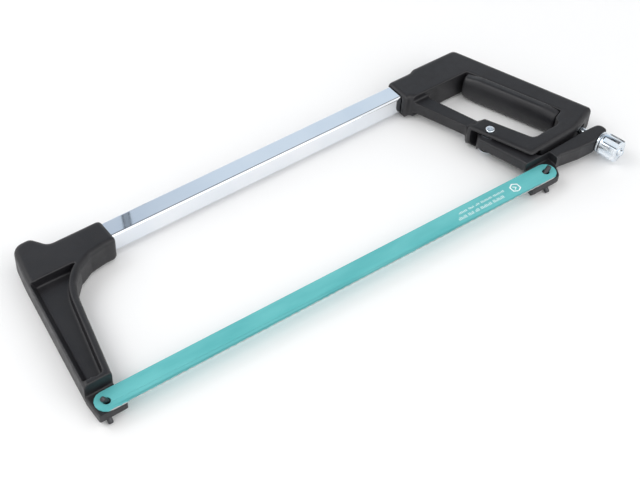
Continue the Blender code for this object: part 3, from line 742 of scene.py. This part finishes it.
smooth(ridge, 40)
finished(ridge, bright_zinc, "stud")

# %% [markdown]
# The washer spreads the nut's load over the end of the lever. It is a stamped ring: a flat bar with
# softened rims, with a hole that clears the stud.

# %% Washer
WASHER_RADIUS = 6.8 * MM
WASHER_THICKNESS = 1.5 * MM
STUD_HOLE = 2.8 * MM
washer = round_bar("tension_washer_bright", WASHER_RADIUS, WASHER_THICKNESS, sides=72)
bevel_where(washer, on_a_rim, 0.35 * MM)
carve(washer, round_bar("washer_bore", STUD_HOLE, DRILL_LENGTH / 2))
lay_on_stud(washer, washer_end - along_stud * WASHER_THICKNESS / 2)
smooth(washer, 30)
finished(washer, bright_zinc, "washer", "tension_washer")

# %% [markdown]
# The thumb nut is turned from bar: a collar at the washer's side, then a barrel with flutes for the
# fingers. The flutes are cut by a ring of round bars, and a fine bevel then takes the sharpness off
# the ribs that are left between them.

# %% Thumb nut
NUT_RADIUS = 7.3 * MM
NUT_LENGTH = 12 * MM
NUT_GAP = 0.3 * MM
FLUTES = 6
FLUTE_RADIUS = 2.6 * MM
FLUTE_DEPTH = 1.1 * MM
COLLAR = 2 * MM
nut = round_bar("thumb_nut", NUT_RADIUS, NUT_LENGTH, sides=96)
bevel_where(nut, on_a_rim, 0.9 * MM, 4)
flute_out = NUT_RADIUS + FLUTE_RADIUS - FLUTE_DEPTH
for i in range(FLUTES):
    turn = 2 * math.pi * i / FLUTES
    place = (flute_out * math.cos(turn), flute_out * math.sin(turn), COLLAR)
    carve(nut, round_bar("flute", FLUTE_RADIUS, NUT_LENGTH, place=place))
carve(nut, round_bar("nut_bore", STUD_HOLE, DRILL_LENGTH))
modify(nut, "BEVEL", width=0.25 * MM, segments=2, limit_method="ANGLE", angle_limit=math.radians(40))
lay_on_stud(nut, washer_end + along_stud * (NUT_GAP + NUT_LENGTH / 2))
smooth(nut, 30)
finished(nut, bright_zinc, "nut", "tension_nut")

# %% [markdown]
# ## Print on the blade
#
# A blade carries printed marks near its rear end. Only plain shapes are used here: an arrow head in a
# six-sided ring, and two rows of short ticks. Each is a very thin raised shape on the enamel, so that
# it stays crisp at any distance. These two helpers place a mark on the blade.

# %% Helpers for printed marks
PRINT_RISE = 0.03 * MM


def on_blade(x, y):
    """A place on the blade's upper side, in millimetres along and across it from its front pin."""
    return PIN + slope @ Vector((x * MM, y * MM, blade_high.z - PIN.z + PRINT_RISE / 2))


def mark(width, height, x, y, turn=0.0):
    """A printed bar, in millimetres, with its middle at a place on the blade."""
    bar = block("printed_bar", (width * MM, height * MM, PRINT_RISE))
    bar.rotation_euler = (0, 0, turn - BLADE_SLOPE)
    bar.location = on_blade(x, y)
    return settle(bar)


# %% [markdown]
# The ticks stand in two rows, and a few are left out so that they fall into groups, as words would.
# Every third one is shorter. All the marks are joined at the end, because they are one print.

# %% Rows of ticks
TICKS = 34
TICK_STEP = 1.05
TICK_WIDTH = 0.42
SHORT_SHARE = 0.65
TICK_ROWS = ((1.9, 234, 1.5), (-1.7, 231, 2.2))
marks = []
for row, start, height in TICK_ROWS:
    for i in range(TICKS):
        if i % 9 == 6 or i % 13 == 11:
            continue
        tall = height * (1 if i % 3 else SHORT_SHARE)
        marks.append(mark(TICK_WIDTH, tall, start + i * TICK_STEP, row - (height - tall) / 2))
print("ticks:", len(marks))

# %% [markdown]
# The arrow head is two bars that lean towards each other. The ring is a six-sided prism with a smaller
# one carved out of it, which keeps the same width on all six sides.

# %% Arrow head and ring
ARROW_AT = 275.3
ARROW_BAR = (2.4, 0.6)
ARROW_LEAN = 0.6
ARROW_SPREAD = 0.6
RING_AT = 275.5
RING_OUTER = 3.7 * MM
RING_INNER = 2.8 * MM
for side in (1, -1):
    marks.append(mark(*ARROW_BAR, ARROW_AT, side * ARROW_SPREAD, -side * ARROW_LEAN))
ring = round_bar("printed_ring", RING_OUTER, PRINT_RISE, sides=6, place=on_blade(RING_AT, 0))
ring_inside = round_bar("ring_inside", RING_INNER, MM, sides=6, place=on_blade(RING_AT, 0))
marks.append(carve(ring, ring_inside))
settle(ring)
bpy.ops.object.select_all(action="DESELECT")
for bar in marks:
    bar.select_set(True)
bpy.context.view_layer.objects.active = marks[0]
bpy.ops.object.join()
finished(added("blade_print"), print_white, "blade")

# %% [markdown]
# ## The studio
#
# The saw lies on a pale floor under a white sky, so that nothing draws the eye away from it. The floor
# is a wide plane with a barely uneven tone.

# %% Floor
FLOOR_SIZE = 6
bpy.ops.mesh.primitive_plane_add(size=FLOOR_SIZE, location=(0, 0, 0))
floor = added("floor")
floor_white, tree, shader = finish("pale floor", (0.93, 0.93, 0.93), 0.6)
feed(tree, shader, "Base Color", noise(tree, scale=3), (0.3, 0.92), (0.7, 0.94))
floor.data.materials.append(floor_white)

# %% [markdown]
# Chrome shows nothing but what stands round it, so the sky is painted for the tube. The sky is a tree
# of nodes that reads the direction one looks in. These helpers add a node to it, and tell how far that
# direction agrees with a given one.

# %% Helpers for the sky
world = bpy.data.worlds.new("studio")
world.use_nodes = True
bpy.context.scene.world = world
tree = world.node_tree


def sky_node(kind, **settings):
    """A node in the sky's tree with these settings."""
    made = tree.nodes.new(kind)
    for setting, value in settings.items():
        setattr(made, setting, value)
    return made


def sky_dot(towards):
    """How far the direction that is looked at agrees with another one."""
    made = sky_node("ShaderNodeVectorMath", operation="DOT_PRODUCT")
    made.inputs[1].default_value = towards
    tree.links.new(looking.outputs["Generated"], made.inputs[0])
    return made.outputs["Value"]


looking = sky_node("ShaderNodeTexCoord")
parts = sky_node("ShaderNodeSeparateXYZ")
tree.links.new(looking.outputs["Generated"], parts.inputs["Vector"])

# %% [markdown]
# The tube's upper side mirrors one small region of the sky. A blue-grey card there gives the plate its
# tone, darker towards the front. The rest of the sky is white.

# %% Card in the sky
CARD_TOWARDS = Vector((0.42, 0.6, 0.68)).normalized()
WHITE = (1.0, 1.0, 1.0)
BLACK = (0.0, 0.0, 0.0)
card_tone = ramp(tree, parts.outputs["X"], (0.3, (0.5, 0.57, 0.66)), (0.4, (0.66, 0.75, 0.84)))
card = ramp(tree, sky_dot(CARD_TOWARDS), (0.9, 0.0), (0.96, 1.0))
carded = mixed(tree, card, WHITE, card_tone)
print("card towards", [round(v, 2) for v in CARD_TOWARDS])

# %% [markdown]
# A narrow dark post stands in front of the card, and shows as the short band near the tube's front
# end. A post is a line in the sky: two directions span a plane, and the post is where one looks nearly
# along that plane. Its core is lighter than its two edges, as a round post's is.

# %% Post in the sky
POST_FOOT = Vector((0.3279, 0.6293, 0.7196))
POST_TOP = Vector((0.3265, 0.6209, 0.7266))
POST_SHARPNESS = 60
POST_DARK = (0.05, 0.06, 0.07)
POST_PROFILE = ((0.28, 0.0), (0.33, 1.0), (0.41, 0.55), (0.6, 0.55), (0.67, 1.0), (0.71, 0.0))
widened = sky_node("ShaderNodeMath", operation="MULTIPLY_ADD")
widened.inputs[1].default_value = POST_SHARPNESS
widened.inputs[2].default_value = 0.5
tree.links.new(sky_dot(POST_FOOT.cross(POST_TOP).normalized()), widened.inputs[0])
post = ramp(tree, widened.outputs["Value"], *POST_PROFILE)
posted = mixed(tree, mixed(tree, card, BLACK, post), carded, POST_DARK)
print("post from", [round(v, 2) for v in POST_FOOT], "to", [round(v, 2) for v in POST_TOP])

# %% [markdown]
# Past the card, near the zenith, hangs a dark strip. Only the rounded corner of the tube mirrors it,
# squeezed into a thin dark line along the tube. The strip is read from how far back a direction leans:
# its Y divided by its Z.

# %% Strip in the sky
STRIP_DARK = (0.03, 0.03, 0.035)
STRIP_EDGES = ((0.06, 0.0), (0.12, 1.0), (0.62, 1.0), (0.68, 0.0))
SKY_STRENGTH = 1.07
leaning = sky_node("ShaderNodeMath", operation="DIVIDE")
tree.links.new(parts.outputs["Y"], leaning.inputs[0])
tree.links.new(parts.outputs["Z"], leaning.inputs[1])
strip = ramp(tree, leaning.outputs["Value"], *STRIP_EDGES)
background = tree.nodes["Background"]
tree.links.new(mixed(tree, strip, posted, STRIP_DARK), background.inputs["Color"])
background.inputs["Strength"].default_value = SKY_STRENGTH
print("the sky has", len(tree.nodes), "nodes")

# %% [markdown]
# The sky alone would light the saw evenly from all sides and leave it flat. Two large soft lamps help
# it: a key lamp beyond the tube, near the saw's front, and a weaker one on the blade's side that keeps
# the shadows open.


# %% Lamps
def lamp(name, place, size, power):
    """A square soft lamp that points at the middle of the saw."""
    light = bpy.data.lights.new(name, "AREA")
    light.shape = "SQUARE"
    light.size = size
    light.energy = power
    obj = bpy.data.objects.new(name, light)
    obj.location = place
    obj.rotation_euler = (-Vector(place)).to_track_quat("-Z", "Y").to_euler()
    bpy.context.scene.collection.objects.link(obj)
    print(f"{name} lamp: {power} W at {place}")


lamp("key", place=(-0.9, 0.5, 1.3), size=0.9, power=9)
lamp("fill", place=(0.3, -1.3, 0.9), size=1.2, power=5)

# %% [markdown]
# The camera looks down at the saw from beyond its front end, on the blade's side. A longish lens keeps
# the blade and the tube nearly parallel. The camera's turn is built up from three plain rotations:
# round the upright axis, down from the level, and a slight roll.

# %% Camera
CAMERA_AT = PIN + Vector((-176.46, -376.89, 554.89)) * MM
AZIMUTH = math.radians(-39.4)
ELEVATION = math.radians(46.7)
ROLL = math.radians(3.23)
SENSOR_WIDTH = 36
LENS = 75.9375
camera_data = bpy.data.cameras.new("camera")
camera_data.sensor_width = SENSOR_WIDTH
camera_data.lens = LENS
camera = bpy.data.objects.new("camera", camera_data)
around = Matrix.Rotation(AZIMUTH, 4, "Z")
tilt = Matrix.Rotation(math.pi / 2 - ELEVATION, 4, "X")
roll = Matrix.Rotation(ROLL, 4, "Z")
camera.matrix_world = Matrix.Translation(CAMERA_AT) @ around @ tilt @ roll
bpy.context.scene.collection.objects.link(camera)
bpy.context.scene.camera = camera
bpy.context.scene.view_settings.view_transform = "Standard"
print("camera at", [round(v, 3) for v in CAMERA_AT])
